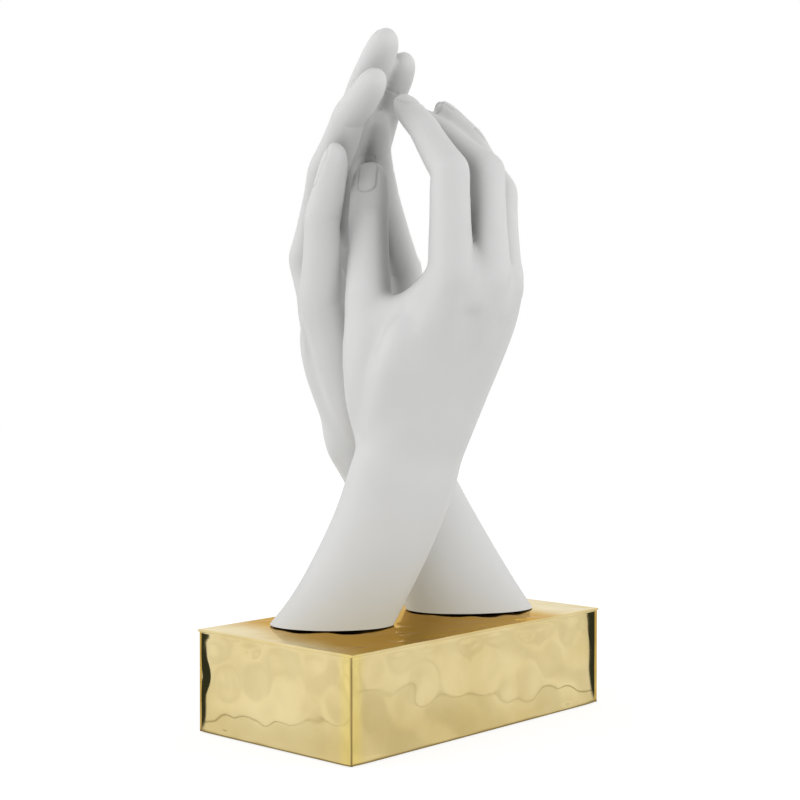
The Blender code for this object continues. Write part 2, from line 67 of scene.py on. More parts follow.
# Hammered plates: mesh step, width of the rounded edge, where its rows lie, its depth by its width.
PLATE_STEP = 0.0011
PLATE_EASE = 0.0009
EASE_ROWS = (0, 0.2, 0.45, 0.72, 1.0)
EASE_DEPTH = 0.3
# How far from its ends a plate turns back, and by how much.
PILLOWS = {
    "front_plate": (0.012, 0.001), "right_end_plate": (0.0095, 0.0008),
    "back_plate": (0.012, 0.001), "left_end_plate": (0.0095, 0.0008),
}
# The turned ends' width varies by this share, at this rate per metre of height.
PILLOW_WAVE = (0.85, 70)
# The side plates reach this much higher than their solids.
PLATE_RISE = 0.00025
# Hammer blows: spacing and jitter of their grid, range of radius and depth, fade along the rim.
DENT_SPACING = 0.0205
DENT_JITTER = 0.35
DENT_RADIUS = (0.0085, 0.0145)
DENT_DEPTH = (0.00016, 0.00052)
DENT_RIM = 0.004
# Deep single blows: place along the plate and up it, or across it on the top, radius, depth.
DEEP_BLOWS = {
    "front_plate": [(0.017, 0.0185, 0.0105, 0.00036), (-0.056, 0.020, 0.0135, 0.0004)],
    "left_end_plate": [(-0.001, 0.0155, 0.0100, 0.00034), (0.026, 0.019, 0.0125, 0.0003)],
    "top_plate": [
        (-0.036, 0.021, 0.005, 0.0004), (-0.051, 0.012, 0.0055, 0.0004), (-0.083, 0.036, 0.006, 0.0004),
        (-0.012, 0.010, 0.0055, 0.0004), (0.006, 0.007, 0.005, 0.00035), (-0.074, 0.014, 0.006, 0.0004),
        (0.033, 0.006, 0.005, 0.00035), (-0.026, 0.004, 0.004, 0.0003),
    ],
}
PLATE_SEEDS = {
    "front_plate": 3, "right_end_plate": 14, "back_plate": 25, "left_end_plate": 36, "top_plate": 47,
}
# Edges that turn by more degrees than this are shaded as edges, on plates and on the feet.
PLATE_CREASE = 40
FOOT_CREASE = 50

# The pair stands turned on its block, its feet at this height.
PAIR_TURN = -47.445
FOOT_HIGH = BASE_HEIGHT + GASKET_THICK + 2 * GAP
# How the overlapping skins of a hand are fused and smoothed: less near the bones of free fingers.
HAND_VOXEL = 0.00115
HAND_SMOOTHING = 36
SMOOTH_PULL = 0.5
FINGER_HOLD = 0.8
FINGER_REACH = 16
FINGER_FADE = 6
FREE_FROM = 0.2
# Fingertips are split finer: reach from the last bone, share of it left out, rounds, smoothing rounds.
TIP_REACH = 13.5
TIP_FROM = 0.15
TIP_SPLITS = 2
TIP_ROUNDS = 4
# Lofts: step along them, sides around them, and how square their ovals are.
LOFT_STEP = 2.2
ARM_STEP = 4.0
FINGER_SIDES = 28
ARM_SIDES = 48
ROUND_SHAPE = 2.0
FINGER_SHAPE = 2.15
WEB_SHAPE = 2.3
ARM_SHAPE = 2.1

# Palm frame of a right hand: X to the thumb, Y out of its back, Z to the fingers, origin at the wrist.
FINGERS = ("index", "middle", "ring", "little")
KNUCKLES = {"index": (22, -1, 84), "middle": (4, 3, 88), "ring": (-13, -2, 83), "little": (-26, -12, 74)}
KNUCKLE_ROLL = {"index": -6, "middle": 3, "ring": 15, "little": 28}
BONES = {
    "index": (50, 31, 27), "middle": (55, 35, 29), "ring": (51, 33, 28), "little": (41, 24, 24),
    "thumb": (46, 38, 32),
}
FINGER_GIRTH = {"index": 1.0, "middle": 1.02, "ring": 0.97, "little": 0.86}
THUMB_ROOT = (26, -14, 20)
THUMB_START = (14, -5, -14)
# Metacarpals: the knuckle's X by this share at their root, the root's Y and Z, share of its roll.
METACARPAL_LEAN = 0.45
METACARPAL_ROOT = (-1, 8)
ROLL_SHARE = 0.8
# Shares of a bone over which it turns into the next one, and a finger's root into the palm.
JOINT_SOFT = 0.22
ROOT_SOFT = 0.15
ROOT_TURN_REACH = 0.4
ROOT_TURN_SHARE = 0.3

# Rows of each bone in turn: share of the bone, half width, half depth to the back, half depth to the pad.
FINGER_SECTIONS = [
    [
        (-0.60, 5.5, 3.0, 6.0), (-0.35, 8.0, 6.5, 8.5), (-0.12, 9.6, 9.4, 10.4),
        (0.05, 10.0, 10.2, 11.2), (0.28, 9.6, 9.3, 10.8), (0.55, 9.1, 8.6, 9.8),
        (0.82, 9.0, 8.4, 9.0), (1.00, 9.1, 8.8, 8.4),
    ],
    [
        (0.22, 8.6, 8.1, 8.3), (0.50, 8.0, 7.3, 8.1), (0.80, 7.7, 6.9, 7.4), (1.00, 7.7, 6.9, 6.9),
    ],
    [
        (0.25, 7.5, 6.3, 7.2), (0.50, 7.3, 5.8, 7.2), (0.72, 6.7, 5.1, 6.5), (0.87, 5.5, 4.2, 5.2),
        (0.96, 3.5, 2.7, 3.3), (1.00, 1.0, 0.9, 1.0),
    ],
]
THUMB_SECTIONS = [
    [
        (-0.80, 5.0, 5.0, 6.0), (-0.50, 9.0, 8.0, 11.0), (-0.15, 12.6, 10.5, 15.0),
        (0.15, 13.6, 11.2, 16.0), (0.45, 13.2, 11.0, 16.0), (0.75, 11.6, 10.2, 13.0),
        (1.00, 10.6, 9.9, 11.2),
    ],
    [
        (0.25, 9.9, 9.2, 10.2), (0.55, 9.3, 8.5, 9.6), (0.82, 9.1, 8.3, 9.0),
        (1.00, 9.1, 8.2, 8.8),
    ],
    [
        (0.22, 9.0, 7.4, 8.8), (0.45, 8.9, 6.8, 8.6), (0.68, 8.3, 6.0, 7.9), (0.84, 7.2, 5.0, 6.6),
        (0.95, 5.0, 3.6, 4.6), (1.00, 2.2, 1.8, 2.0),
    ],
]
# Each row: centre, lean about Y, half width, half depth to the back, half depth to the palm, arch.
PALM_SECTIONS = [
    ((0, 0, 0), 0, 29, 18.5, 19, 0),
    ((0, 0, 16), 0, 29.5, 16.5, 18, 1),
    ((0, 0, 34), 0, 31.5, 14.5, 17, 4),
    ((-0.5, 0, 52), 3, 33, 13, 16, 7),
    ((-1, 0, 68), 6, 33.5, 11.5, 14, 10),
    ((-1, -1, 80), 8, 32, 9.5, 12, 11),
    ((-1, -2, 90), 9, 28, 7.0, 9, 10),
    ((-1, -3, 97), 9, 21, 4.0, 5, 7),
]
# Each row: share of the metacarpal, half width, half depth to the back, half depth to the palm.
METACARPAL_SECTIONS = [
    (-0.1, 4, 6, 6), (0.25, 8, 11.5, 10), (0.6, 9, 11.5, 11), (0.9, 9.4, 10.6, 11.5), (1.1, 7, 7.5, 9),
]
# Ball of the little finger's side. Each row: centre, half width, half depth to the back, to the palm.
HEEL_SECTIONS = [
    ((-10, -4, -8), 6, 6, 8),
    ((-15, -6, 8), 11, 9, 13),
    ((-20, -8, 28), 13, 10, 15),
    ((-24, -11, 48), 11.5, 9, 13),
    ((-26, -13, 66), 8, 7, 9),
    ((-26, -13, 76), 4, 4, 5),
]
HEEL_TURN = 12
# Back of the thumb's root, between the thumb and the palm. Each row as for the ball.
SADDLE_SECTIONS = [
    ((18, -4, -14), 5, 6, 6),
    ((22, -5, 0), 8, 10, 8),
    ((25, -5, 18), 10, 11, 9),
    ((28, -6, 36), 11, 11, 9),
    ((30, -7, 52), 9, 9, 8),
    ((31, -8, 62), 4, 4, 4),
]
# Each row: share of the first bones, half depth to the back, half depth to the palm.
CROTCH_SECTIONS = [(-0.25, 4, 5), (-0.05, 8, 9), (0.15, 7, 9), (0.27, 4.5, 7), (0.32, 1.5, 3)]
# Web between thumb and index finger: its corners, its thickness, wider at both ends, and its valley.
WEB_ROOT_THUMB = (22, -8, 18)
WEB_ROOT_INDEX = (12, -3, 20)
WEB_TOP_THUMB = 0.12
WEB_TOP_INDEX = (0, -3, 18)
WEB_THICK = (12, 7.5)
WEB_FLARE = 2.5
WEB_VALLEY = (0.42, 17)
WEB_STEPS = 11

# Poses. side: 1 is a right hand, -1 a left one. foot: where the arm meets the block, in the pair's frame.
# wrist: from the foot's centre. turn: yaw, pitch, roll. bow: how far the forearm bends aside.
# twist: how far the foot's oval is turned against the wrist's.
# arm rows: share of the way from wrist to foot, half width, half depth to the back and to the palm.
# fingers: splay, then the bends of the three joints. thumb: yaw, pitch, roll, then two bends.
# nails: how deep the nails are cut.
RIGHT_POSE = {
    "side": 1, "size": 1.03, "foot": (-38, -21), "wrist": (41.0, -7.3, 87.4), "turn": (-137, -8.5, -27.0),
    "bow": (5, -2, 0), "twist": -40,
    "arm": [(0.12, 29, 19, 19.5), (0.4, 26, 20, 20), (0.75, 25.5, 20, 20), (1.0, 28.5, 21, 21)],
    "girth": (1.06, 0.95), "thumb_girth": (1.04, 1.08),
    "index": (13, 27, 43, 6), "middle": (-4, 38, 44, 5), "ring": (-12, 36, 26, 11),
    "little": (-8, 34, 14, 8), "thumb": (8, 33, -50, 14, 9), "nails": 0.7,
}
LEFT_POSE = {
    "side": -1, "size": 1.13, "foot": (31.5, 30), "wrist": (-45.2, -8.2, 88.4), "turn": (44.0, -2.8, -14.1),
    "bow": (0, 3, 0), "twist": 42,
    "arm": [(0.12, 27, 18, 18), (0.4, 25, 19, 19), (0.75, 26, 20, 20), (1.0, 28.5, 21, 21)],
    "girth": (0.99, 1.08), "thumb_girth": (0.95, 0.87),
    "index": (25, 45, 9, 11), "middle": (12, 39, 16, 3), "ring": (2, 29, 29, 5),
    "little": (12, 24, 21, 10), "thumb": (22, 15, -37, 18, 10), "nails": 0.45,
}
FOOT_STUB = 22
WRIST_TURN_REACH = 0.625

# Nails: middle as a share of the last bone, half length, half width.
NAILS = {
    "thumb": (0.63, 9.2, 4.8), "index": (0.70, 6.4, 4.8), "middle": (0.70, 6.6, 4.9),
    "ring": (0.70, 6.4, 4.7), "little": (0.70, 5.4, 4.0),
}
# Corner radius as a share of the half width at the nail's root and tip; groove: depth, half width;
# rise and the width over which it comes; fold of skin: height, distance from the edge, half width,
# share of the half length where it ends; box in which a nail lies: half width, half length, depth;
# distance behind the bone's axis where it starts and is full.
NAIL_CORNER = (1.0, 0.75)
NAIL_GROOVE = (0.8, 0.45)
NAIL_RISE = (0.16, 1.2)
NAIL_FOLD = (0.16, 1.3, 0.9)
NAIL_SKIN = (0.3, 0.8)
NAIL_BOX = (12, 16, -2)
NAIL_BACK = (0.5, 2.5)
# Creases: reach from the joint, waviness, distance from the bone's axis where they start and are full;
# then for each one its place along the bone from the joint, depth, half width.
CREASE_REACH = 15
CREASE_WAVE = (0.35, 0.55)
CREASE_SIDE = (1.0, 5.0)
BACK_CREASES = [(-1.9, 0.10, 0.7), (0.2, 0.14, 0.8), (2.3, 0.10, 0.7)]
PAD_CREASES = [(-0.6, 0.28, 0.9)]
PALM_LINES = [
    [(27, 52), (14, 50), (6, 36), (5, 20), (10, 8)],
    [(27, 55), (12, 56), (-4, 48), (-18, 36)],
    [(-32, 58), (-18, 63), (-4, 67), (8, 78)],
]
# Their depth and half width, where above the wrist they start, how far the skin has to face the palm.
PALM_LINE = (0.42, 1.1)
PALM_LINE_FADE = (4, 14)
PALM_SIDE = (0.1, 0.6)

# Noise: scale, detail. Bump: strength, height. Tones change where the noise goes through this range.
NOISE_RANGE = (0.3, 0.7)
# Casting: roughness, gloss, drift of its tone and fine tooth. Painted shade greys its recesses: how far a
# point looks for a neighbour, and how open it is where the painted shade is full and where it ends.
RESIN_ROUGH = 0.46
RESIN_GLOSS = 0.55
RESIN_DRIFT = (14, 4)
RESIN_TOOTH = (2600, 2)
RESIN_BUMP = (0.12, 0.00008)
RESIN_TONES = ((0.590, 0.592, 0.588), (0.618, 0.620, 0.616))
RESIN_RECESS_SHADE = (0.33, 0.33, 0.325)
RECESS_SHADE_REACH = 0.06
RECESS_SHADE_OPEN = (0.3, 0.9)
RECESS_SHADE_RAYS = 6

# How far from the corner at -X, -Y its warmer tone and its dark solder line start and are full.
CORNER_REACH = (-0.010, -0.003)
SEAM_REACH = (-0.0013, -0.0006)
SEAM_TOP = BASE_HEIGHT - 0.0014
SEAM_TOP_FALL = 4.0
BRASS_ROUGH = 0.1
BRASS_DRIFT = (26, 4)
BRASS_HAIRLINES = (900, 3)
BRASS_BUMP = (0.05, 0.00005)
BRASS_TONES = ((0.76, 0.615, 0.30), (0.85, 0.715, 0.39))
BRASS_CORNER = (0.86, 0.70, 0.27)
BRASS_SEAM = (0.20, 0.12, 0.05)
# Painted reflection in the brass's mirrored colour, browner in the middle of the block, paler to its ends;
# where along X it changes, how it wanders and leans.
PAINTED_REFLECTION_REACH = (0.058, 0.088)
PAINTED_REFLECTION_TONES = ((0.72, 0.50, 0.22), (0.97, 0.945, 0.84))
PAINTED_REFLECTION_DRIFT = 0.02
PAINTED_REFLECTION_LEAN = (0.25, -0.0195)
# Faint haze: its noise, and the range of roughness that a range of the noise gives.
HAZE_NOISE = (45, 5)
HAZE = ((0.35, 0.75), (0.05, 0.12))
METAL_GRAIN = ((500, 4), NOISE_RANGE)
METAL_BUMP = (0.1, 0.00005)
# Plain materials: roughness, metallic, noise, range of it over which the tone changes, tones, bump.
PLAIN = {
    "core_wood": (0.7, 0.0, (30, 6), (0.35, 0.65), (0.36, 0.23, 0.12), (0.6, 0.44, 0.28), (0.2, 0.0003)),
    "brown_felt": (0.95, 0.0, (1500, 4), NOISE_RANGE, (0.06, 0.042, 0.03), (0.14, 0.1, 0.07),
                   (0.6, 0.0004)),
    "dark_gasket": (0.75, 0.0, (900, 3), NOISE_RANGE, (0.02, 0.02, 0.02), (0.045, 0.04, 0.036),
                    (0.2, 0.0001)),
    "insert_brass": (0.35, 1.0, *METAL_GRAIN, (0.68, 0.53, 0.26), (0.78, 0.64, 0.36), METAL_BUMP),
    "zinc_steel": (0.32, 1.0, *METAL_GRAIN, (0.56, 0.57, 0.59), (0.68, 0.69, 0.71), METAL_BUMP),
}
# The wood's grain runs along X.
GRAIN_STRETCH = (1, 12, 12)

# The ground painted into reflections: a pale sheet, a line at its edge, paler ground beyond, shaded
# patches.
SHEET_MIDDLE = 0.003
SHEET_HALF = 0.128
SHEET_LINE = 0.0035
# Painted shade: the sheet darkens towards its middle line, fully within this distance of it.
SHEET_SHADE = 0.06
SHEET_SHADE_TONES = ((0.86, 0.83, 0.74), (0.95, 0.94, 0.90))
SHEET_BEYOND = (0.97, 0.96, 0.94)
SHEET_LINE_TONE = (0.40, 0.38, 0.28)
# Patches of painted shade: their noise, range, stretch, share and tone.
PATCH_NOISE = (34, 1)
PATCH_RANGE = (0.62, 0.38)
PATCH_SHAPE = 0.22
PATCH_SHADE_SHARE = 0.17
PATCH_SHADE_TONE = (0.30, 0.27, 0.20)
# Painted shade: the right half of the ground is darker by this share.
RIGHT_SHADE = 0.06
# Painted dark region behind the block, on the left and on the right: where it starts, its slope, how far
# out.
DARK_START = (-0.036, 0.032)
DARK_SLOPE = (0.09, 0.26)
DARK_OUT = 0.102
DARK_EDGE = 0.006
DARK_SIDE = (-0.004, 0.002)
# It fades out where it lies more straight behind: its depth as a share of its distance aside.
DARK_STRAIGHT = (0.65, 0.52)
DARK_TONE = (0.035, 0.04, 0.032)
# Shade along the foot of the block.
CONTACT_REACH = 0.006
CONTACT_TONE = (0.28, 0.24, 0.14)
# The floor as the camera sees it: its own white and the part that takes a shadow.
FLOOR_REACH = 3.0
FLOOR_GLOW = 0.78
FLOOR_MATT = (0.3, 0.3, 0.3)
FLOOR_PLAIN = (0.82, 0.82, 0.82)
WHITE = (1, 1, 1)

# Soft boxes: bearing from straight behind the object towards its right, height, strength.
SOFT_BOXES = [
    (180, 8, 0.5), (135, 8, 1.05), (90, 8, 1.6), (45, 8, 1.45),
    (-45, 8, 1.3), (-90, 8, 1.9), (-135, 8, 1.25),
]
SOFT_BOX_FALL = 5.0
AMBIENT = 0.12
# The wall in reflections: noise of its streaks, tones, the bearings and heights of its dark corners.
WALL_STREAKS = (10, 2)
WALL_RANGE = (0.35, 0.65)
WALL_TONES = ((0.90, 0.89, 0.87), (1.0, 0.99, 0.97))
WALL_DARK = ((82, 79), (18, 26), (0.10, 0.03))

CAMERA_LENS = 72.85
CAMERA_SENSOR = 36
CAMERA_NEAR = 0.01
CAMERA_PLACE = (-0.60859, -0.55443, 0.18409)
CAMERA_TILT = 88.463


def rotation(yaw=0.0, pitch=0.0, roll=0.0):
    """A turn about X by roll, then Y by pitch, then Z by yaw, in degrees."""
    about_x = Matrix.Rotation(radians(roll), 3, "X")
    about_y = Matrix.Rotation(radians(pitch), 3, "Y")
    about_z = Matrix.Rotation(radians(yaw), 3, "Z")
    return about_z @ about_y @ about_x


def blend_turn(first, second, share):
    return first.to_quaternion().slerp(second.to_quaternion(), share).to_matrix()


def chain(root, turn, bones, bends):
    """Joint places and bone turns of a finger that bends at each joint in turn."""
    joints, turns = [Vector(root)], []
    for length, bend in zip(bones, bends):
        turn = turn @ rotation(roll=bend)
        turns.append(turn)
        joints.append(joints[-1] + turn @ Vector((0, 0, length)))
    return joints, turns


def hand_skeleton(pose):
    """Joints and turns of every finger, in the palm frame at size 1."""
    skeleton = {}
    for name in FINGERS:
        splay, *bends = pose[name]
        turn = rotation(yaw=KNUCKLE_ROLL[name], pitch=splay)
        skeleton[name] = chain(KNUCKLES[name], turn, BONES[name], bends)
    yaw, pitch, roll, *bends = pose["thumb"]
    turn = rotation(pitch=yaw) @ rotation(roll=pitch) @ rotation(yaw=roll)
    skeleton["thumb"] = chain(THUMB_ROOT, turn, BONES["thumb"], (0, *bends))
    return skeleton


def finger_controls(joints, turns, table, girth, root_turn=None, start=None):
    """Sections along a finger: centre, turn, half width, two half depths, arch."""
    controls = []
    rows = [(bone, *row) for bone, rows_of_bone in enumerate(table) for row in rows_of_bone]
    for bone, share, width, back, pad in rows:
        centre = joints[bone].lerp(joints[bone + 1], share)
        turn = turns[bone]
        if start and share < 0:
            centre = joints[0].lerp(start, share / rows[0][1])
        elif root_turn and share < 0:
            centre = joints[0] + root_turn @ Vector((0, 0, share * (joints[1] - joints[0]).length))
            turn = blend_turn(turns[0], root_turn, min(1.0, -share / ROOT_TURN_REACH))
        elif root_turn and bone == 0 and share < ROOT_SOFT:
            turn = blend_turn(turns[0], root_turn, ROOT_TURN_SHARE * (1 - share / ROOT_SOFT))
        elif share > 1 - JOINT_SOFT and bone + 1 < len(turns):
            turn = blend_turn(turns[bone], turns[bone + 1], 0.5 * (share - 1 + JOINT_SOFT) / JOINT_SOFT)
        elif share < JOINT_SOFT and bone > 0:
            turn = blend_turn(turns[bone - 1], turns[bone], 0.5 + 0.5 * share / JOINT_SOFT)
        along = max(0.0, min(1.0, (bone + share) / len(turns)))
        swell = girth[0] * (1 - along) + girth[1] * along
        controls.append((centre, turn, width * swell, back * swell, pad * swell, 0))
    return controls


def spline(before, start, end, after, t):
    """Catmull-Rom curve from start to end."""
    return 0.5 * (2 * start + (end - before) * t + (2 * before - 5 * start + 4 * end - after) * t ** 2
                  + (3 * start - before - 3 * end + after) * t ** 3)


def refine(controls, spacing):
    """Sections at about this spacing along a smooth path through the control sections."""
    rows = [np.array([*centre, *sizes], float) for centre, _, *sizes in controls]
    turns = [turn.to_quaternion() for _, turn, *_ in controls]
    sections = []
    for i in range(len(rows) - 1):
        before = rows[max(i - 1, 0)]
        after = rows[min(i + 2, len(rows) - 1)]
        span = np.linalg.norm(rows[i + 1][:3] - rows[i][:3])
        count = max(1, round(span / spacing))
        for k in range(count):
            t = k / count
            row = spline(before, rows[i], rows[i + 1], after, t)
            sections.append((row, turns[i].slerp(turns[i + 1], t)))
    sections.append((rows[-1], turns[-1]))
    return sections


def ring_points(row, turn, sides, power):
    """Points round a section: an oval, deeper on one side, bent down by arch at its -X side."""
    centre, (width, back, pad, arch) = Vector(row[:3]), row[3:]
    points = []
    for k in range(sides):
        angle = math.tau * k / sides
        c, s = math.cos(angle), math.sin(angle)
        x = math.copysign(abs(c) ** (2 / power), c)
        y = (back if s > 0 else pad) * math.copysign(abs(s) ** (2 / power), s)
        points.append(centre + turn @ Vector((width * x, y - arch * min(0, x) ** 2, 0)))
    return points


def skin_rings(bm, rings):
    """Closes rings of vertices into a skin, capped at both ends."""
    sides = len(rings[0])
    for low, high in zip(rings, rings[1:]):
        for k in range(sides):
            n = (k + 1) % sides
            bm.faces.new((low[k], low[n], high[n], high[k]))
    bm.faces.new(list(reversed(rings[0])))
    bm.faces.new(rings[-1])


def loft(bm, controls, power=ROUND_SHAPE, spacing=LOFT_STEP, sides=FINGER_SIDES):
    """A closed skin through the sections."""
    skin_rings(bm, [[bm.verts.new(point) for point in ring_points(row, turn, sides, power)]
                    for row, turn in refine(controls, spacing)])


def split_wide_faces(bm):
    bmesh.ops.triangulate(bm, faces=[face for face in bm.faces if len(face.verts) > 4])


def finish_mesh(bm, name):
    """Turns a bmesh into a mesh and frees it."""
    mesh = bpy.data.meshes.new(name)
    bm.to_mesh(mesh)
    bm.free()
    return mesh


def web_controls(thumb_joints, index_turn):
    """The fold of skin between thumb and index finger, in sections from bone to bone."""
    knuckle = Vector(KNUCKLES["index"])
    top_thumb = thumb_joints[1].lerp(thumb_joints[2], WEB_TOP_THUMB)
    top_index = knuckle + index_turn @ Vector(WEB_TOP_INDEX)
    low_thumb, low_index = Vector(WEB_ROOT_THUMB), Vector(WEB_ROOT_INDEX)
    down = (low_thumb + low_index - top_thumb - top_index).normalized()
    share, drop = WEB_VALLEY
    valley = top_thumb.lerp(knuckle, share) + down * drop
    across = (top_index - top_thumb).normalized()
    controls = []
    for t in np.linspace(0, 1, WEB_STEPS):
        top = top_thumb * (1 - t) ** 2 + valley * (2 * t * (1 - t)) + top_index * t ** 2
        low = low_thumb.lerp(low_index, t)
        up = (top - low).normalized()
        normal = (across - up * across.dot(up)).normalized()
        turn = Matrix((up, normal.cross(up), normal)).transposed()
        back, pad = (thick + WEB_FLARE * abs(2 * t - 1) for thick in WEB_THICK)
        controls.append(((top + low) / 2, turn, (top - low).length / 2, back, pad, 0))
    return controls


def crotch_controls(first, second):
    """The fold between two neighbouring fingers, over the lower part of their first bones."""
    controls = []
    for share, back, pad in CROTCH_SECTIONS:
        ends = [joints[0].lerp(joints[1], share) for joints, _ in (first, second)]
        across = ends[0] - ends[1]
        along = ((first[0][1] - first[0][0]) + (second[0][1] - second[0][0])).normalized()
        side = (across - along * across.dot(along)).normalized()
        turn = Matrix((side, along.cross(side), along)).transposed()
        controls.append(((ends[0] + ends[1]) / 2, turn, across.length / 2, back, pad, 0))
    return controls


def arm_controls(pose):
    """Sections of the forearm from the foot up to the wrist, carried into the palm frame."""
    unturn = rotation(*pose["turn"]).inverted()
    mirror = Matrix.Diagonal((pose["side"], 1, 1))
    reach = Vector(pose["wrist"])
    foot = mirror @ (unturn @ -(reach + reach.normalized() * FOOT_STUB)) / pose["size"]
    bow = mirror @ (unturn @ Vector(pose["bow"])) / pose["size"]
    level = Matrix.Identity(3)
    along_arm = Vector((0, 0, 1)).rotation_difference(-foot).to_matrix()
    controls = []
    for share, *sizes in reversed(pose["arm"]):
        centre = foot * share + bow * (4 * share * (1 - share))
        lean = blend_turn(level, along_arm, min(1, share / WRIST_TURN_REACH))
        turn = lean @ rotation(yaw=pose["twist"] * share)
        controls.append((centre, turn, *sizes, 0))
    return controls


def hand_shells(pose):
    """All the overlapping skins of one hand, around its foot's centre, in metres."""
    bm = bmesh.new()
    skeleton = hand_skeleton(pose)
    for name in FINGERS:
        knuckle = Vector(KNUCKLES[name])
        lean = math.degrees(math.atan2(knuckle.x * METACARPAL_LEAN, knuckle.z))
        root_turn = rotation(yaw=KNUCKLE_ROLL[name] * ROLL_SHARE, pitch=lean)
        girth = [FINGER_GIRTH[name] * share for share in pose["girth"]]
        loft(bm, finger_controls(*skeleton[name], FINGER_SECTIONS, girth, root_turn), FINGER_SHAPE)
        root = Vector((knuckle.x * METACARPAL_LEAN, *METACARPAL_ROOT))
        turn = rotation(yaw=KNUCKLE_ROLL[name] * ROLL_SHARE)
        loft(bm, [(root.lerp(knuckle, share), turn, *sizes, 0) for share, *sizes in METACARPAL_SECTIONS])
    for first, second in zip(FINGERS, FINGERS[1:]):
        loft(bm, crotch_controls(skeleton[first], skeleton[second]))
    start = Vector(THUMB_START)
    thumb = finger_controls(*skeleton["thumb"], THUMB_SECTIONS, pose["thumb_girth"], start=start)
    loft(bm, thumb, FINGER_SHAPE)
    loft(bm, web_controls(skeleton["thumb"][0], skeleton["index"][1][0]), WEB_SHAPE)
    for table in (HEEL_SECTIONS, SADDLE_SECTIONS):
        loft(bm, [(Vector(centre), rotation(yaw=HEEL_TURN), *sizes, 0) for centre, *sizes in table])
    palm = [(Vector(centre), rotation(pitch=lean), *sizes) for centre, lean, *sizes in PALM_SECTIONS]
    loft(bm, arm_controls(pose) + palm, ARM_SHAPE, ARM_STEP, ARM_SIDES)
    size = pose["size"]
    shape = Matrix.Diagonal((size * pose["side"], size, size, 1))
    place = Matrix.Translation(pose["wrist"]) @ rotation(*pose["turn"]).to_4x4() @ shape
    bmesh.ops.transform(bm, matrix=Matrix.Scale(MM, 4) @ place, verts=bm.verts)
    if pose["side"] < 0:
        bmesh.ops.reverse_faces(bm, faces=bm.faces)
    split_wide_faces(bm)
    return bm


def read_vectors(items, key):
    values = np.empty(len(items) * 3)
    items.foreach_get(key, values)
    return values.reshape(-1, 3)


def read_points(mesh):
    return read_vectors(mesh.vertices, "co")


def write_points(mesh, points):
    mesh.vertices.foreach_set("co", points.ravel())
    mesh.update()


def into_palm(points, pose):
    """Points of a hand's mesh, in the palm frame of a right hand at size 1, in millimetres."""
    turn = np.array(rotation(*pose["turn"]))
    local = (points / MM - np.array(pose["wrist"])) @ turn / pose["size"]
    local[:, 0] *= pose["side"]
    return local


def bone_distance(local, start, end):
    bone = end - start
    t = np.clip((local - start) @ bone / (bone @ bone), 0, 1)
    return np.linalg.norm(local - start - t[:, None] * bone, axis=1)


def nearest_distance(local, bones):
    """How far each point lies from the nearest of these bones or lines."""
    nearest = np.full(len(local), np.inf)
    for start, end in bones:
        nearest = np.minimum(nearest, bone_distance(local, start, end))
    return nearest


def free_bones(pose):
    """The bones of the fingers that stand free of the palm."""
    bones = []
    for name, (joints, _) in hand_skeleton(pose).items():
        ends = [np.array(joint) for joint in joints]
        if name == "thumb":
            ends = ends[1:]
        else:
            ends[0] += FREE_FROM * (ends[1] - ends[0])
        bones += zip(ends, ends[1:])
    return bones


def last_bones(pose):
    """The last bone of each finger, from a share of its length on."""
    bones = []
    for joints, _ in hand_skeleton(pose).values():
        start, end = np.array(joints[2]), np.array(joints[3])
        bones.append((start + TIP_FROM * (end - start), end))
    return bones


def relax(mesh, points, pull, rounds):
    """Laplacian smoothing with a strength of its own for each vertex."""
    count = len(points)
    edges = np.empty(len(mesh.edges) * 2, int)
    mesh.edges.foreach_get("vertices", edges)
    first, second = edges.reshape(-1, 2).T
    links = np.bincount(first, minlength=count) + np.bincount(second, minlength=count)
    for _ in range(rounds):
        for axis in range(3):
            line = points[:, axis]
            total = np.bincount(first, line[second], count) + np.bincount(second, line[first], count)
            points[:, axis] = line + pull * (total / links - line)
    return points


def step(low, high, value):
    """0 below low, 1 above high, smooth between."""
    t = np.clip((value - low) / (high - low), 0, 1)
    return t * t * (3 - 2 * t)


def nail_relief(local, joints, turns, nail):
    """Height of the nail, its groove and the fold of skin round it, at each point."""
    share, half_length, half_width = nail
    turn = np.array(turns[2])
    place = (local - np.array(joints[2])) @ turn
    length = np.linalg.norm(np.array(joints[3]) - np.array(joints[2]))
    along = place[:, 2] - share * length
    corner = half_width * np.where(along < 0, *NAIL_CORNER)
    x = np.abs(place[:, 0]) - half_width + corner
    z = np.abs(along) - half_length + corner
    outside = np.hypot(np.maximum(x, 0), np.maximum(z, 0)) + np.minimum(np.maximum(x, z), 0) - corner
    groove, width = NAIL_GROOVE
    fold, fold_at, fold_width = NAIL_FOLD
    rise, rise_width = NAIL_RISE
    height = rise * step(0, rise_width, -outside)
    height -= groove * np.exp(-(outside / width) ** 2)
    skin = 1 - step(*(share * half_length for share in NAIL_SKIN), along)
    height += fold * skin * np.exp(-((outside - fold_at) / fold_width) ** 2)
    wide, long, deep = NAIL_BOX
    near = (np.abs(place[:, 0]) < wide) & (np.abs(along) < long) & (place[:, 1] > deep)
    return np.where(near, height * step(*NAIL_BACK, place[:, 1]), 0)


def crease_relief(local, joints, turns, joint, creases, side):
    """Fine folds across a finger at a joint, on its back (side 1) or its pad (side -1)."""
    turn = np.array(blend_turn(turns[joint - 1], turns[joint], 0.5))
    place = (local - np.array(joints[joint])) @ turn
    near = np.linalg.norm(place, axis=1) < CREASE_REACH
    mask = step(*CREASE_SIDE, side * place[:, 1])
    height = np.zeros(len(local))
    swing, rate = CREASE_WAVE
    for at, depth, width in creases:
        wave = swing * np.sin(place[:, 0] * rate + at)
        height -= depth * np.exp(-((place[:, 2] - at - wave) / width) ** 2)
    return np.where(near, height * mask, 0)


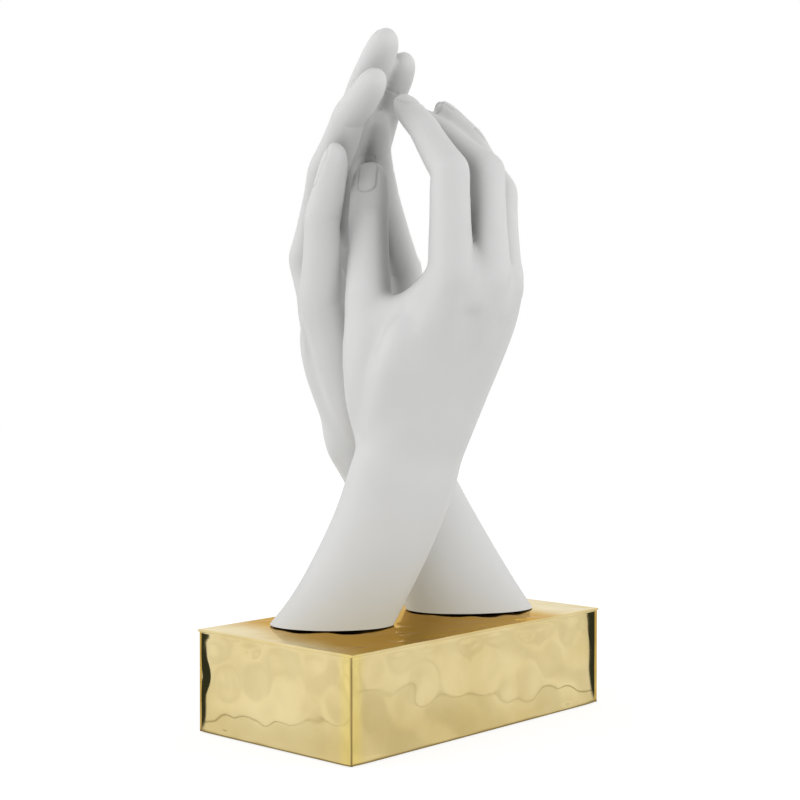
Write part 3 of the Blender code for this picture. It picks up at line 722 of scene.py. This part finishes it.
def line_relief(local, facing, path):
    """A long fold of the palm, drawn as a polyline seen from the palm's side."""
    ends = [np.array(place, float) for place in path]
    nearest = nearest_distance(local[:, [0, 2]], zip(ends, ends[1:]))
    depth, width = PALM_LINE
    return -depth * np.exp(-(nearest / width) ** 2) * step(*PALM_SIDE, -facing)


def carve(mesh, pose):
    """Nails, finger creases and palm lines, pressed into or raised from the skin."""
    points = read_points(mesh)
    local = into_palm(points, pose)
    normals = read_vectors(mesh.vertex_normals, "vector")
    facing = (normals @ np.array(rotation(*pose["turn"])))[:, 1]
    height = np.zeros(len(points))
    for name, (joints, turns) in hand_skeleton(pose).items():
        height += pose["nails"] * nail_relief(local, joints, turns, NAILS[name])
        for joint in (1, 2):
            height += crease_relief(local, joints, turns, joint, BACK_CREASES, 1)
            height += crease_relief(local, joints, turns, joint, PAD_CREASES, -1)
    above_wrist = step(*PALM_LINE_FADE, local[:, 2])
    for path in PALM_LINES:
        height += line_relief(local, facing, path) * above_wrist
    write_points(mesh, points + normals * (height * pose["size"] * MM)[:, None])


def split_tips(mesh, pose):
    """Splits the faces near the ends of the fingers, so that the nails have points enough."""
    bones = last_bones(pose)
    for _ in range(TIP_SPLITS):
        wanted = nearest_distance(into_palm(read_points(mesh), pose), bones) < TIP_REACH
        bm = bmesh.new()
        bm.from_mesh(mesh)
        bm.verts.ensure_lookup_table()
        edges = [edge for edge in bm.edges if wanted[edge.verts[0].index] and wanted[edge.verts[1].index]]
        bmesh.ops.subdivide_edges(bm, edges=edges, cuts=1, use_grid_fill=True)
        bm.to_mesh(mesh)
        bm.free()
        points = read_points(mesh)
        nearest = nearest_distance(into_palm(points, pose), bones)
        pull = SMOOTH_PULL * (1 - step(TIP_REACH - 1, TIP_REACH + 1, nearest))
        write_points(mesh, relax(mesh, points, pull, TIP_ROUNDS))


def add_object(name, data):
    made = bpy.data.objects.new(name, data)
    bpy.context.scene.collection.objects.link(made)
    return made


def add_piece(name, mesh, materials, slot, node):
    """A visible piece that rides on the part's one body and stands for a CAD node."""
    piece = add_object(name, mesh)
    mesh.materials.append(materials[slot])
    mesh.shade_smooth()
    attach(piece, "root")
    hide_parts(node)
    return piece


def fused_skin(name, pose):
    """The hand's overlapping skins made one, smoothed and carved, around its foot's centre."""
    guide = add_object(name + "_shells", finish_mesh(hand_shells(pose), name + "_shells"))
    fuse = guide.modifiers.new("fuse", "REMESH")
    fuse.mode = "VOXEL"
    fuse.voxel_size = HAND_VOXEL
    seen = guide.evaluated_get(bpy.context.evaluated_depsgraph_get())
    skin = bpy.data.meshes.new_from_object(seen)
    bpy.data.objects.remove(guide)

    points = read_points(skin)
    from_bone = nearest_distance(into_palm(points, pose), free_bones(pose))
    on_finger = np.clip((FINGER_REACH - from_bone) / FINGER_FADE, 0, 1)
    write_points(skin, relax(skin, points, SMOOTH_PULL * (1 - FINGER_HOLD * on_finger), HAND_SMOOTHING))
    split_tips(skin, pose)
    carve(skin, pose)
    return skin


def make_hand(name, pose, materials):
    """One hand, cut flat at its foot, and the gasket under it."""
    bm = bmesh.new()
    bm.from_mesh(fused_skin(name, pose))
    everything = list(bm.verts) + list(bm.edges) + list(bm.faces)
    cut = bmesh.ops.bisect_plane(bm, geom=everything, plane_co=(0, 0, -FOOT_SETTLE), plane_no=(0, 0, 1),
                                 clear_inner=True)
    rim = [edge for edge in cut["geom_cut"] if isinstance(edge, bmesh.types.BMEdge)]
    outline = [vert.co.copy() for vert in ordered_loop(rim)]
    bmesh.ops.contextual_create(bm, geom=rim)
    split_wide_faces(bm)
    place = rotation(yaw=PAIR_TURN).to_4x4()
    place = place @ Matrix.Translation(Vector((*pose["foot"], 0)) * MM + Vector((0, 0, FOOT_HIGH)))
    bmesh.ops.transform(bm, matrix=place, verts=bm.verts)
    mesh = finish_mesh(bm, name)
    hand = add_piece(name + "_cast", mesh, materials, "white_resin", name)
    foot_edges = hand.modifiers.new("weighted", "WEIGHTED_NORMAL")
    foot_edges.keep_sharp = True
    mesh.set_sharp_from_angle(angle=radians(FOOT_CREASE))

    gasket = gasket_mesh(name + "_gasket_ring", outline)
    gasket.transform(place @ Matrix.Translation((0, 0, -FOOT_SETTLE - GASKET_SEEN)))
    add_piece(name + "_gasket_ring", gasket, materials, "dark_gasket", name + "_gasket")


def ordered_loop(edges):
    """The vertices of a closed loop of edges, in order."""
    edge = edges[0]
    vert = edge.verts[0]
    wanted = set(edges)
    loop = []
    while edge:
        wanted.discard(edge)
        loop.append(vert)
        vert = edge.other_vert(vert)
        edge = next((other for other in vert.link_edges if other in wanted), None)
    return loop


def gasket_mesh(name, outline):
    """A flat pad of the foot's outline, a little smaller."""
    bm = bmesh.new()
    centre = sum(outline, Vector()) / len(outline)
    rings = []
    low, high = GASKET_EASE, GASKET_SEEN - GASKET_EASE
    for height, inset in ((0, GASKET_EASE), (low, 0), (high, 0), (GASKET_SEEN, GASKET_EASE)):
        ring = []
        for point in outline:
            out = (point - centre).to_2d()
            place = centre.to_2d() + out * (1 - (GASKET_INSET + inset) / out.length)
            ring.append(bm.verts.new((place.x, place.y, height)))
        rings.append(ring)
    skin_rings(bm, rings)
    bmesh.ops.recalc_face_normals(bm, faces=bm.faces)
    return finish_mesh(bm, name)


def dent_centres(name, length, height):
    """The blows on a plate: the deep ones, and a jittered grid of lighter ones between them."""
    draw = random.Random(PLATE_SEEDS[name])
    deep = DEEP_BLOWS.get(name, [])
    centres = list(deep)
    rows = round(height / DENT_SPACING) + 1
    columns = round(length / DENT_SPACING) + 1
    for row in range(rows):
        for column in range(columns):
            x = (column / (columns - 1) - 0.5) * length + (row % 2 - 0.5) * 0.5 * DENT_SPACING
            z = row / (rows - 1) * height
            x += draw.uniform(-DENT_JITTER, DENT_JITTER) * DENT_SPACING
            z += draw.uniform(-DENT_JITTER, DENT_JITTER) * DENT_SPACING
            blow = (x, z, draw.uniform(*DENT_RADIUS), draw.uniform(*DENT_DEPTH))
            if all(math.hypot(x - cx, z - cz) > reach for cx, cz, reach, _ in deep):
                centres.append(blow)
    return centres


def dent_depth(x, z, centres):
    """How deep the hammered surface lies at a place."""
    total = 0.0
    for cx, cz, reach, depth in centres:
        away = ((x - cx) ** 2 + (z - cz) ** 2) / reach ** 2
        if away < 1:
            total += depth * (1 - away) ** 2
    return total


def spread(size):
    """Even places along a side, with more near each end for a crisp edge."""
    count = round(size / PLATE_STEP)
    near = [share * PLATE_EASE for share in EASE_ROWS]
    even = [size * k / count for k in range(1, count)]
    middle = [place for place in even if 1.5 * PLATE_EASE < place < size - 1.5 * PLATE_EASE]
    return near + middle + [size - place for place in reversed(near)]


def turned_back(name, side, x, z):
    """How far a side plate turns back near its ends, over a width that wanders up its height."""
    reach, turned = PILLOWS[name]
    wave, rate = PILLOW_WAVE
    reach *= 1 + wave * noise.noise(Vector((math.copysign(PLATE_SEEDS[name], x) + 0.5, z * rate, 0.5)))
    return turned * max(0.0, 1 - side / reach) ** 2


def plate_mesh(name, length, height):
    """A plate in its own frame: X along it, Z up from 0, its outer face at Y 0 looking to -Y, with dents.

    A side plate is mitred, and turns back a little towards its two ends.
    """
    mitred = name in PILLOWS
    centres = dent_centres(name, length, height)
    bm = bmesh.new()
    xs = [x - length / 2 for x in spread(length)]
    outer = []
    for z in spread(height):
        line = []
        for x in xs:
            side = length / 2 - abs(x)
            edge = max(0.0, min(side, z, height - z))
            depth = dent_depth(x, z, centres) * min(1.0, edge / DENT_RIM)
            if mitred:
                depth += turned_back(name, side, x, z)
            rounding = max(0.0, 1 - edge / PLATE_EASE)
            depth += EASE_DEPTH * PLATE_EASE * rounding * rounding
            line.append(bm.verts.new((x, depth, z)))
        outer.append(line)
    inner = []
    inset = PLATE_THICK if mitred else 0.0
    for z in (0.0, height):
        for x in (-1, 1):
            inner.append(bm.verts.new((x * (length / 2 - inset), PLATE_THICK, z)))
    for low, high in zip(outer, outer[1:]):
        for k in range(len(xs) - 1):
            bm.faces.new((low[k], low[k + 1], high[k + 1], high[k]))
    bm.faces.new((inner[0], inner[2], inner[3], inner[1]))
    bm.faces.new([inner[0], inner[1], *reversed(outer[0])])
    bm.faces.new([inner[3], inner[2], *outer[-1]])
    bm.faces.new([inner[2], inner[0], *(line[0] for line in outer)])
    bm.faces.new([inner[1], inner[3], *(line[-1] for line in reversed(outer))])
    bmesh.ops.recalc_face_normals(bm, faces=bm.faces)
    split_wide_faces(bm)
    return finish_mesh(bm, name + "_hammered")


def make_block(materials):
    """The hammered brass plates round the block."""
    height = BASE_HEIGHT - PLATE_THICK - GAP - PLATE_LIFT + PLATE_RISE
    sides = (
        ("front_plate", BASE_LENGTH, BASE_WIDTH, 0),
        ("right_end_plate", BASE_WIDTH, BASE_LENGTH, 90),
        ("back_plate", BASE_LENGTH, BASE_WIDTH, 180),
        ("left_end_plate", BASE_WIDTH, BASE_LENGTH, -90),
    )
    for name, length, across, turn in sides:
        place = rotation(yaw=turn).to_4x4() @ Matrix.Translation((0, -across / 2, PLATE_LIFT))
        add_plate(name, length - GAP, height, place, materials)
    lay = Matrix.Translation((0, -BASE_WIDTH / 2, BASE_HEIGHT)) @ rotation(roll=-90).to_4x4()
    add_plate("top_plate", BASE_LENGTH, BASE_WIDTH, lay, materials)


def add_plate(name, length, height, place, materials):
    mesh = plate_mesh(name, length, height)
    mesh.transform(place)
    add_piece(name + "_hammered", mesh, materials, "hammered_brass", name)
    mesh.set_sharp_from_angle(angle=radians(PLATE_CREASE))


class Nodes:
    """Short calls for building a material's nodes."""

    def __init__(self, tree):
        self.tree = tree

    def add(self, kind, **values):
        node = self.tree.nodes.new(kind)
        for key, value in values.items():
            if hasattr(node, key):
                setattr(node, key, value)
            else:
                node.inputs[key.replace("_", " ")].default_value = value
        return node

    def link(self, out_socket, in_socket):
        self.tree.links.new(out_socket, in_socket)

    def feed(self, values, in_sockets):
        """Gives each socket its number, its colour or vector, or the link to another socket."""
        for value, socket in zip(values, in_sockets):
            if isinstance(value, tuple):
                socket.default_value = (*value, 1)[:len(socket.default_value)]
            elif isinstance(value, (int, float)):
                socket.default_value = value
            else:
                self.link(value, socket)

    def make(self, kind, *values, **settings):
        """The first output of a node whose first sockets are fed these values."""
        node = self.add(kind, **settings)
        self.feed(values, node.inputs)
        return node.outputs[0]

    def math(self, operation, *values):
        return self.make("ShaderNodeMath", *values, operation=operation)

    def axes(self, vector):
        """The three coordinates of a vector."""
        return self.make("ShaderNodeSeparateXYZ", vector).node.outputs[:]

    def seen_by_pair(self, vector):
        """A vector in the pair's frame: X across the pair, Y from the nearer hand to the farther one."""
        turn = radians(-PAIR_TURN)
        return self.make("ShaderNodeVectorRotate", vector, rotation_type="Z_AXIS", Angle=turn)

    def remap(self, value, source, target, curve="LINEAR"):
        """Carries one range of values over to another."""
        return self.make("ShaderNodeMapRange", value, *source, *target, interpolation_type=curve)

    def fade(self, value, low, high):
        """0 at low, 1 at high, smooth between."""
        if low < high:
            return self.remap(value, (low, high), (0.0, 1.0), "SMOOTHSTEP")
        return self.remap(value, (high, low), (1.0, 0.0), "SMOOTHSTEP")

    def mix(self, share, first, second):
        """A blend of two colours, each a socket or a plain colour."""
        node = self.add("ShaderNodeMix", data_type="RGBA")
        self.feed((share, first, second), [node.inputs[name] for name in ("Factor", "A", "B")])
        return node.outputs["Result"]

    def ramp(self, value, low, high, low_color, high_color):
        """A colour that goes from one to the other as value goes from low to high."""
        return self.mix(self.fade(value, low, high), low_color, high_color)


def new_material(name, roughness, metallic=0.0):
    material = bpy.data.materials.new(name)
    material.use_nodes = True
    nodes = Nodes(material.node_tree)
    shader = material.node_tree.nodes["Principled BSDF"]
    shader.inputs["Roughness"].default_value = roughness
    shader.inputs["Metallic"].default_value = metallic
    place = nodes.add("ShaderNodeTexCoord").outputs["Object"]
    return material, nodes, shader, place


def add_noise(nodes, place, shape):
    scale, detail = shape
    return nodes.make("ShaderNodeTexNoise", place, Scale=scale, Detail=detail)


def add_bump(nodes, shader, height, shape):
    strength, distance = shape
    bump = nodes.add("ShaderNodeBump", Strength=strength, Distance=distance)
    nodes.link(height, bump.inputs["Height"])
    nodes.link(bump.outputs["Normal"], shader.inputs["Normal"])


def resin_material():
    """Matt white casting: a fine tooth, tones that drift by a hair, and painted shade greying the recesses.
    """
    material, nodes, shader, place = new_material("white_resin", RESIN_ROUGH)
    tone = nodes.ramp(add_noise(nodes, place, RESIN_DRIFT), *NOISE_RANGE, *RESIN_TONES)
    # Painted shade: the tone turns grey where the hand closes round a point.
    open_air = nodes.add("ShaderNodeAmbientOcclusion", samples=RECESS_SHADE_RAYS, only_local=True,
                         Distance=RECESS_SHADE_REACH)
    tone = nodes.ramp(open_air.outputs["AO"], *RECESS_SHADE_OPEN, RESIN_RECESS_SHADE, tone)
    nodes.link(tone, shader.inputs["Base Color"])
    shader.inputs["Specular IOR Level"].default_value = RESIN_GLOSS
    add_bump(nodes, shader, add_noise(nodes, place, RESIN_TOOTH), RESIN_BUMP)
    return material


def brass_material():
    """Polished brass: seam at the near corner, painted reflection browner in the middle, faint haze,
    hairlines.
    """
    material, nodes, shader, place = new_material("hammered_brass", BRASS_ROUGH, 1.0)
    x, y, z = nodes.axes(place)
    drift = add_noise(nodes, place, BRASS_DRIFT)
    tone = nodes.ramp(drift, *NOISE_RANGE, *BRASS_TONES)
    seam = nodes.math("MINIMUM", nodes.math("SUBTRACT", -BASE_LENGTH / 2, x),
                      nodes.math("SUBTRACT", -BASE_WIDTH / 2, y))
    below_top = nodes.math("SUBTRACT", SEAM_TOP, z)
    seam = nodes.math("MINIMUM", seam, nodes.math("MULTIPLY", below_top, SEAM_TOP_FALL))
    tone = nodes.mix(nodes.fade(seam, *CORNER_REACH), tone, BRASS_CORNER)
    tone = nodes.mix(nodes.fade(seam, *SEAM_REACH), tone, BRASS_SEAM)
    nodes.link(tone, shader.inputs["Base Color"])
    # Painted reflection: what the brass mirrors turns browner in the middle of the block and paler to its
    # ends.
    along = nodes.math("ADD", nodes.math("ABSOLUTE", x), nodes.math("MULTIPLY", drift, PAINTED_REFLECTION_DRIFT))
    lean_rate, lean_start = PAINTED_REFLECTION_LEAN
    lean = nodes.math("ADD", nodes.math("MULTIPLY", y, lean_rate), lean_start)
    lean = nodes.math("MULTIPLY", lean, nodes.math("LESS_THAN", x, 0.0))
    painted_reflection = nodes.ramp(nodes.math("ADD", along, lean), *PAINTED_REFLECTION_REACH, *PAINTED_REFLECTION_TONES)
    nodes.link(painted_reflection, shader.inputs["Specular Tint"])
    nodes.link(nodes.remap(add_noise(nodes, place, HAZE_NOISE), *HAZE), shader.inputs["Roughness"])
    add_bump(nodes, shader, add_noise(nodes, place, BRASS_HAIRLINES), BRASS_BUMP)
    return material


def plain_material(name):
    """A material whose tone and bump follow one noise."""
    roughness, metallic, noise_shape, reach, dark, light, bump = PLAIN[name]
    material, nodes, shader, place = new_material(name, roughness, metallic)
    if name == "core_wood":
        place = nodes.make("ShaderNodeMapping", place, Scale=GRAIN_STRETCH)
    grain = add_noise(nodes, place, noise_shape)
    nodes.link(nodes.ramp(grain, *reach, dark, light), shader.inputs["Base Color"])
    add_bump(nodes, shader, grain, bump)
    return material


def dress_nodes(materials):
    """Gives every CAD node its slot's material."""
    for part in frame["record"]["subparts"]:
        mesh = frame["nodes"][part["node"]].data
        mesh.materials.clear()
        mesh.materials.append(materials[part["material_slot"]])


def ground_as_mirrored(nodes):
    """Ground painted into reflections: pale sheet, edges, painted shade in patches, dark region behind."""
    place = nodes.add("ShaderNodeNewGeometry").outputs["Position"]
    across, depth, _ = nodes.axes(nodes.seen_by_pair(place))
    aside = nodes.math("ABSOLUTE", across)
    from_middle = nodes.math("ABSOLUTE", nodes.math("SUBTRACT", across, SHEET_MIDDLE))
    from_edge = nodes.math("ABSOLUTE", nodes.math("SUBTRACT", from_middle, SHEET_HALF))
    # Painted shade: the sheet is darker towards its middle line.
    sheet = nodes.ramp(from_middle, SHEET_SHADE, SHEET_HALF, *SHEET_SHADE_TONES)
    ground = nodes.mix(nodes.math("GREATER_THAN", from_middle, SHEET_HALF), sheet, SHEET_BEYOND)
    drawn_out = nodes.make("ShaderNodeCombineXYZ", nodes.math("MULTIPLY", across, PATCH_SHAPE), depth)
    # Patches of painted shade.
    patches = nodes.fade(add_noise(nodes, drawn_out, PATCH_NOISE), *PATCH_RANGE)
    ground = nodes.mix(nodes.math("MULTIPLY", patches, PATCH_SHADE_SHARE), ground, PATCH_SHADE_TONE)
    right = nodes.math("GREATER_THAN", across, 0.0)
    # Painted shade over the right half of the ground.
    ground = nodes.mix(nodes.math("MULTIPLY", right, RIGHT_SHADE), ground, (0.0, 0.0, 0.0))
    lined = nodes.mix(nodes.fade(from_edge, SHEET_LINE, 0.0), ground, SHEET_LINE_TONE)
    # A dark region painted behind the block, at its sides.
    start = nodes.math("MULTIPLY_ADD", right, DARK_START[1] - DARK_START[0], DARK_START[0])
    slope = nodes.math("MULTIPLY_ADD", right, DARK_SLOPE[1] - DARK_SLOPE[0], DARK_SLOPE[0])
    out = nodes.math("SUBTRACT", aside, DARK_OUT)
    border = nodes.math("ADD", start, nodes.math("MULTIPLY", slope, out))
    dark = nodes.fade(nodes.math("SUBTRACT", depth, border), 0.0, DARK_EDGE)
    dark = nodes.math("MULTIPLY", dark, nodes.fade(out, *DARK_SIDE))
    dark = nodes.math("MULTIPLY", dark, nodes.fade(nodes.math("DIVIDE", depth, aside), *DARK_STRAIGHT))
    beside = [nodes.math("SUBTRACT", nodes.math("ABSOLUTE", axis), half)
              for axis, half in zip(nodes.axes(place), (BASE_LENGTH / 2, BASE_WIDTH / 2))]
    contact = nodes.fade(nodes.math("MAXIMUM", *beside), CONTACT_REACH, 0.0)
    return nodes.mix(contact, nodes.mix(dark, lined, DARK_TONE), CONTACT_TONE)


def floor_material():
    """White with a soft shadow to the camera, plain to light, drawn only in reflections."""
    material = bpy.data.materials.new("floor_white")
    material.use_nodes = True
    nodes = Nodes(material.node_tree)
    material.node_tree.nodes.remove(material.node_tree.nodes["Principled BSDF"])
    light_path = nodes.add("ShaderNodeLightPath")
    glow = nodes.make("ShaderNodeEmission", WHITE, FLOOR_GLOW)
    seen = nodes.make("ShaderNodeAddShader", glow, nodes.make("ShaderNodeBsdfDiffuse", FLOOR_MATT))
    plain = nodes.make("ShaderNodeBsdfDiffuse", FLOOR_PLAIN)
    surface = nodes.make("ShaderNodeMixShader", light_path.outputs["Is Camera Ray"], plain, seen)
    # Painted reflection: the brass mirrors this glowing picture of the ground in place of the floor.
    shown = nodes.make("ShaderNodeEmission", ground_as_mirrored(nodes), 1.0)
    surface = nodes.make("ShaderNodeMixShader", light_path.outputs["Is Glossy Ray"], surface, shown)
    nodes.link(surface, material.node_tree.nodes["Material Output"].inputs["Surface"])
    return material


def make_floor():
    """The floor under the object."""
    bm = bmesh.new()
    bmesh.ops.create_grid(bm, x_segments=1, y_segments=1, size=FLOOR_REACH)
    floor = add_object("floor", finish_mesh(bm, "floor"))
    floor.data.materials.append(floor_material())


def room_light(nodes, direction):
    """What lights the object: soft boxes all round, and a little light from everywhere."""
    total = AMBIENT
    for bearing, height, strength in SOFT_BOXES:
        flat = math.cos(radians(height))
        aim = (flat * math.sin(radians(bearing)), flat * math.cos(radians(bearing)),
               math.sin(radians(height)))
        toward = nodes.make("ShaderNodeVectorMath", direction, aim, operation="DOT_PRODUCT")
        toward = toward.node.outputs["Value"]
        fall = nodes.math("MULTIPLY", nodes.math("SUBTRACT", toward, 1.0), SOFT_BOX_FALL)
        glow = nodes.math("MULTIPLY", nodes.math("EXPONENT", fall), strength)
        total = nodes.math("ADD", glow, total)
    return nodes.make("ShaderNodeCombineColor", total, total, total)


def room_as_mirrored(nodes, direction):
    """What the object mirrors: a white wall with faint streaks, dark corners behind it at the sides."""
    side, depth, up = nodes.axes(direction)
    azimuth = nodes.math("ARCTAN2", nodes.math("ABSOLUTE", side), depth)
    bearing = nodes.make("ShaderNodeCombineXYZ", nodes.math("ARCTAN2", side, depth))
    streaks = add_noise(nodes, bearing, WALL_STREAKS)
    wall = nodes.ramp(streaks, *WALL_RANGE, *WALL_TONES)
    outer, inner, heights = WALL_DARK
    dark = nodes.math("MULTIPLY", nodes.fade(azimuth, *map(radians, outer)),
                      nodes.fade(azimuth, *map(radians, inner)))
    dark = nodes.math("MULTIPLY", dark, nodes.fade(up, *heights))
    return nodes.mix(dark, wall, DARK_TONE)


def make_world():
    """White all round for the camera; a bright room with dim corners for light and reflections."""
    world = bpy.data.worlds.new("studio")
    bpy.context.scene.world = world
    world.use_nodes = True
    nodes = Nodes(world.node_tree)
    direction = nodes.seen_by_pair(nodes.add("ShaderNodeTexCoord").outputs["Generated"])
    light_path = nodes.add("ShaderNodeLightPath")
    lit = nodes.mix(light_path.outputs["Is Glossy Ray"], room_light(nodes, direction),
                    room_as_mirrored(nodes, direction))
    shown = nodes.mix(light_path.outputs["Is Camera Ray"], lit, WHITE)
    background = world.node_tree.nodes["Background"]
    nodes.link(shown, background.inputs["Color"])
    background.inputs["Strength"].default_value = 1.0


def make_camera():
    camera = bpy.data.cameras.new("camera")
    camera.lens = CAMERA_LENS
    camera.sensor_width = CAMERA_SENSOR
    camera.clip_start = CAMERA_NEAR
    view = add_object("camera", camera)
    view.location = CAMERA_PLACE
    view.rotation_euler = (radians(CAMERA_TILT), 0, radians(PAIR_TURN))
    bpy.context.scene.camera = view


materials = {"white_resin": resin_material(), "hammered_brass": brass_material()}
for plain in PLAIN:
    materials[plain] = plain_material(plain)
dress_nodes(materials)
make_block(materials)
make_hand("right_hand", RIGHT_POSE, materials)
make_hand("left_hand", LEFT_POSE, materials)
make_floor()
make_world()
make_camera()
bpy.context.scene.view_settings.view_transform = "Standard"
